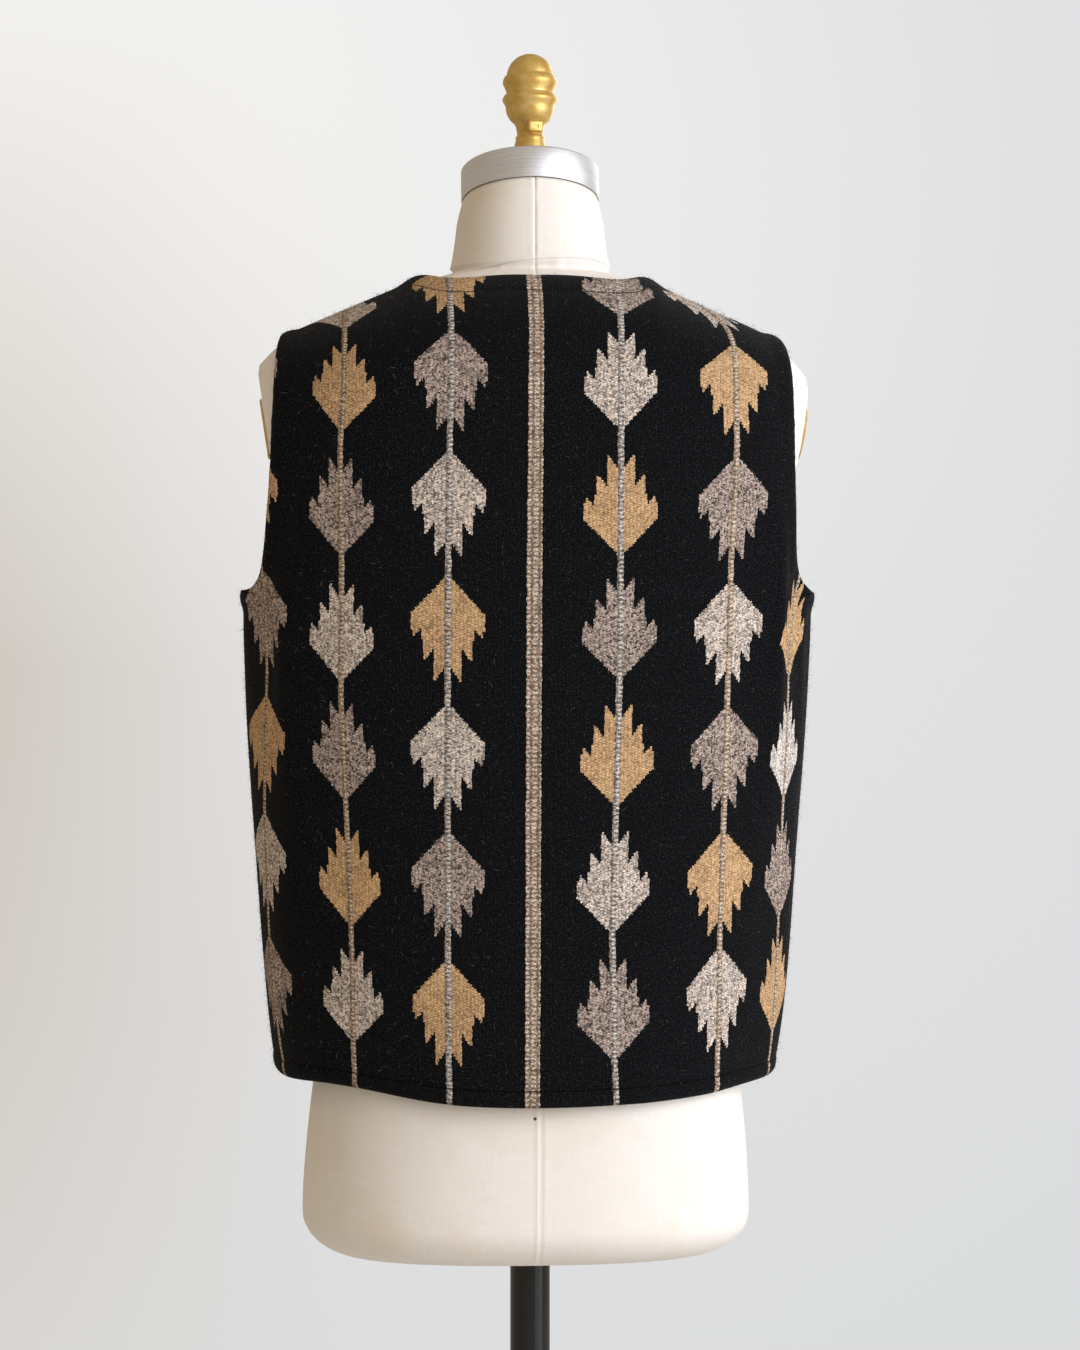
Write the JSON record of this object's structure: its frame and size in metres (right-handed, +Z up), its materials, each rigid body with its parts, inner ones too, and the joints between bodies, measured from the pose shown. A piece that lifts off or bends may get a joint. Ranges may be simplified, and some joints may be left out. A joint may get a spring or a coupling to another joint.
{
  "type": "handwoven vest on a dress form",
  "caption": "Sleeveless handwoven wool vest with columns of serrated leaves and a centre stripe, worn by a limbless linen-covered dress form with a finial, on a pole and round base.",
  "frame": {"origin": "On the floor, on the pole's axis, in the middle of the round base.", "axes": "+Z up. The front of the vest faces -Y, so the wearer's left is +X and the back faces +Y."},
  "size_m": [0.48, 0.48, 1.6403],
  "materials": {
    "woven_wool": "fuzzy weft-faced handwoven wool, black with tan and grey leaves",
    "linen_cover": "tight cream linen cover",
    "satin_aluminium": "satin brushed round the band",
    "gold_paint": "gold paint on cast metal",
    "black_steel": "smooth black paint, half gloss"
  },
  "bodies": {
    "root": {"vest_back": "woven_wool", "vest_front_left": "woven_wool", "vest_front_right": "woven_wool", "form_torso": "linen_cover", "form_neck_cap": "satin_aluminium", "form_finial": "gold_paint", "form_arm_plate_left": "gold_paint", "form_arm_plate_right": "gold_paint", "form_pole": "black_steel", "form_base": "black_steel"}
  },
  "joints": []
}
